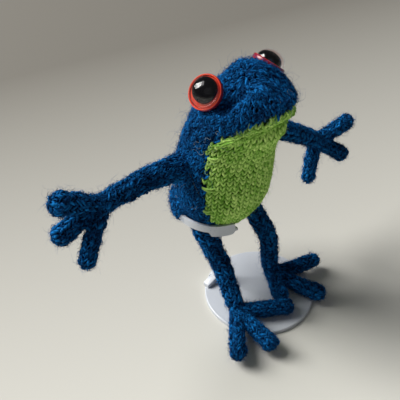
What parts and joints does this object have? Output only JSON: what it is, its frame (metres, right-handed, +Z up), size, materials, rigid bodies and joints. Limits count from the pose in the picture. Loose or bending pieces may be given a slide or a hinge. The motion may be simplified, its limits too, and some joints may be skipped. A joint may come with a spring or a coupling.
{
  "type": "knitted toy frog in a doll stand",
  "caption": "Knitted blue and green toy frog with wired limbs and domed red eyes, held up by a small white plastic doll stand.",
  "frame": {"origin": "centre of the stand's round base, on its underside", "axes": "+Z up; the frog faces -Y; its right side is -X"},
  "size_m": [0.1377, 0.0631, 0.1037],
  "materials": {
    "blue_wool": "knitted, fuzzy",
    "green_wool": "knitted, fuzzy",
    "stuffing_fibre": "loose fibre",
    "white_plastic": "satin white",
    "red_plastic": "gloss",
    "black_plastic": "gloss",
    "clear_dome": "clear",
    "washer_plastic": "matte",
    "skeleton_wire": "drawn wire"
  },
  "bodies": {
    "stand": {"stand_base": "white_plastic", "stand_post": "white_plastic"},
    "clip": {"waist_clip": "white_plastic"},
    "torso": {"knit_back": "blue_wool", "knit_belly": "green_wool", "stuffing": "stuffing_fibre", "eye_cups": "red_plastic", "eye_pupils": "black_plastic", "eye_lenses": "clear_dome", "eye_washers": "washer_plastic"},
    "right_upper_arm": {"right_arm_upper": "blue_wool", "right_arm_upper_wire": "skeleton_wire"},
    "right_forearm": {"right_arm_lower": "blue_wool", "right_arm_lower_wire": "skeleton_wire"},
    "right_palm": {"right_arm_palm": "blue_wool", "right_arm_palm_wire": "skeleton_wire"},
    "right_finger_1": {"right_arm_finger_1": "blue_wool", "right_arm_finger_1_wire": "skeleton_wire"},
    "right_finger_2": {"right_arm_finger_2": "blue_wool", "right_arm_finger_2_wire": "skeleton_wire"},
    "right_finger_3": {"right_arm_finger_3": "blue_wool", "right_arm_finger_3_wire": "skeleton_wire"},
    "right_thigh": {"right_leg_upper": "blue_wool", "right_leg_upper_wire": "skeleton_wire"},
    "right_shin": {"right_leg_lower": "blue_wool", "right_leg_lower_wire": "skeleton_wire"},
    "right_foot": {"right_leg_foot": "blue_wool", "right_leg_foot_wire": "skeleton_wire"},
    "right_toe_1": {"right_leg_toe_1": "blue_wool", "right_leg_toe_1_wire": "skeleton_wire"},
    "right_toe_2": {"right_leg_toe_2": "blue_wool", "right_leg_toe_2_wire": "skeleton_wire"},
    "right_toe_3": {"right_leg_toe_3": "blue_wool", "right_leg_toe_3_wire": "skeleton_wire"},
    "left_upper_arm": {"left_arm_upper": "blue_wool", "left_arm_upper_wire": "skeleton_wire"},
    "left_forearm": {"left_arm_lower": "blue_wool", "left_arm_lower_wire": "skeleton_wire"},
    "left_palm": {"left_arm_palm": "blue_wool", "left_arm_palm_wire": "skeleton_wire"},
    "left_finger_1": {"left_arm_finger_1": "blue_wool", "left_arm_finger_1_wire": "skeleton_wire"},
    "left_finger_2": {"left_arm_finger_2": "blue_wool", "left_arm_finger_2_wire": "skeleton_wire"},
    "left_finger_3": {"left_arm_finger_3": "blue_wool", "left_arm_finger_3_wire": "skeleton_wire"},
    "left_thigh": {"left_leg_upper": "blue_wool", "left_leg_upper_wire": "skeleton_wire"},
    "left_shin": {"left_leg_lower": "blue_wool", "left_leg_lower_wire": "skeleton_wire"},
    "left_foot": {"left_leg_foot": "blue_wool", "left_leg_foot_wire": "skeleton_wire"},
    "left_toe_1": {"left_leg_toe_1": "blue_wool", "left_leg_toe_1_wire": "skeleton_wire"},
    "left_toe_2": {"left_leg_toe_2": "blue_wool", "left_leg_toe_2_wire": "skeleton_wire"},
    "left_toe_3": {"left_leg_toe_3": "blue_wool", "left_leg_toe_3_wire": "skeleton_wire"}
  },
  "joints": [
    {"name": "clip_turn", "type": "hinge", "parent": "stand", "child": "clip", "pos_m": [-0.0086, 0.0154, 0.03], "axis": [0, 0, 1], "continuous": true},
    {"name": "frog_lift", "type": "slide", "parent": "clip", "child": "torso", "axis": [0, 0.5708, 0.8211], "range_m": [0, 0.003]},
    {"name": "right_shoulder", "type": "hinge", "parent": "torso", "child": "right_upper_arm", "pos_m": [-0.0222, 0.0196, 0.0662], "axis": [-0.0739, 0.9973, 0], "range_deg": [-20, 20]},
    {"name": "right_elbow", "type": "hinge", "parent": "right_upper_arm", "child": "right_forearm", "pos_m": [-0.0384, 0.0184, 0.0696], "axis": [0.1679, 0.0316, 0.9853], "range_deg": [0, 45]},
    {"name": "right_wrist", "type": "hinge", "parent": "right_forearm", "child": "right_palm", "pos_m": [-0.0554, 0.0152, 0.0726], "axis": [-0.185, 0.9827, 0], "range_deg": [-25, 25]},
    {"name": "right_finger_1_bend", "type": "hinge", "parent": "right_palm", "child": "right_finger_1", "pos_m": [-0.06704, 0.01545, 0.07686], "axis": [0.4491, 0.382, 0.8077], "range_deg": [-10, 30]},
    {"name": "right_finger_2_bend", "type": "hinge", "parent": "right_palm", "child": "right_finger_2", "pos_m": [-0.06708, 0.01592, 0.0694], "axis": [-0.3326, 0.3506, 0.8755], "range_deg": [-10, 30]},
    {"name": "right_finger_3_bend", "type": "hinge", "parent": "right_palm", "child": "right_finger_3", "pos_m": [-0.06474, 0.01134, 0.06689], "axis": [-0.7736, 0.1988, 0.6017], "range_deg": [-10, 30]},
    {"name": "right_hip", "type": "hinge", "parent": "torso", "child": "right_thigh", "pos_m": [-0.0172, 0.0146, 0.0344], "axis": [-1, 0, 0], "range_deg": [0, 15]},
    {"name": "right_knee", "type": "hinge", "parent": "right_thigh", "child": "right_shin", "pos_m": [-0.0149, 0.0082, 0.0202], "axis": [-1, 0, 0], "range_deg": [0, 35]},
    {"name": "right_ankle", "type": "hinge", "parent": "right_shin", "child": "right_foot", "pos_m": [-0.0159, -0.002, 0.009], "axis": [-1, 0, 0], "range_deg": [0, 20]},
    {"name": "right_toe_1_bend", "type": "hinge", "parent": "right_foot", "child": "right_toe_1", "pos_m": [-0.02225, -0.01129, 0.0054], "axis": [-0.7372, 0.6757, 0], "range_deg": [0, 30]},
    {"name": "right_toe_2_bend", "type": "hinge", "parent": "right_foot", "child": "right_toe_2", "pos_m": [-0.01686, -0.01358, 0.0054], "axis": [-0.998, 0.0634, 0], "range_deg": [0, 30]},
    {"name": "right_toe_3_bend", "type": "hinge", "parent": "right_foot", "child": "right_toe_3", "pos_m": [-0.00901, -0.00972, 0.0054], "axis": [-0.5595, -0.8288, 0], "range_deg": [0, 30]},
    {"name": "left_shoulder", "type": "hinge", "parent": "torso", "child": "left_upper_arm", "pos_m": [0.0098, 0.015, 0.0716], "axis": [-0.1203, -0.9927, 0], "range_deg": [-10, 20]},
    {"name": "left_elbow", "type": "hinge", "parent": "left_upper_arm", "child": "left_forearm", "pos_m": [0.023, 0.0134, 0.0634], "axis": [-0.5726, 0.0342, -0.8191], "range_deg": [0, 45]},
    {"name": "left_wrist", "type": "hinge", "parent": "left_forearm", "child": "left_palm", "pos_m": [0.0364, 0.0126, 0.054], "axis": [-0.0596, -0.9982, 0], "range_deg": [-25, 25]},
    {"name": "left_finger_1_bend", "type": "hinge", "parent": "left_palm", "child": "left_finger_1", "pos_m": [0.0474, 0.0124, 0.05186], "axis": [0.0332, -0.0966, -0.9948], "range_deg": [-10, 30]},
    {"name": "left_finger_2_bend", "type": "hinge", "parent": "left_palm", "child": "left_finger_2", "pos_m": [0.04531, 0.01014, 0.04679], "axis": [-0.6587, -0.0706, -0.7491], "range_deg": [-10, 30]},
    {"name": "left_finger_3_bend", "type": "hinge", "parent": "left_palm", "child": "left_finger_3", "pos_m": [0.03758, 0.01168, 0.0441], "axis": [-0.9659, 0.0281, 0.2574], "range_deg": [-10, 30]},
    {"name": "left_hip", "type": "hinge", "parent": "torso", "child": "left_thigh", "pos_m": [0.005, 0.0126, 0.0366], "axis": [-0.6606, -0.7507, 0], "range_deg": [0, 20]},
    {"name": "left_knee", "type": "hinge", "parent": "left_thigh", "child": "left_shin", "pos_m": [0.0082, 0.0044, 0.0234], "axis": [-0.6606, -0.7507, 0], "range_deg": [0, 35]},
    {"name": "left_ankle", "type": "hinge", "parent": "left_shin", "child": "left_foot", "pos_m": [0.0079, 0.0026, 0.0094], "axis": [-1, 0, 0], "range_deg": [0, 20]},
    {"name": "left_toe_1_bend", "type": "hinge", "parent": "left_foot", "child": "left_toe_1", "pos_m": [0.01547, -0.00204, 0.0054], "axis": [-0.2873, -0.9578, 0], "range_deg": [0, 30]},
    {"name": "left_toe_2_bend", "type": "hinge", "parent": "left_foot", "child": "left_toe_2", "pos_m": [0.01054, -0.00718, 0.0054], "axis": [-0.9456, -0.3254, 0], "range_deg": [0, 30]},
    {"name": "left_toe_3_bend", "type": "hinge", "parent": "left_foot", "child": "left_toe_3", "pos_m": [0.00401, -0.0065, 0.0054], "axis": [-0.8591, 0.5118, 0], "range_deg": [0, 30]}
  ]
}
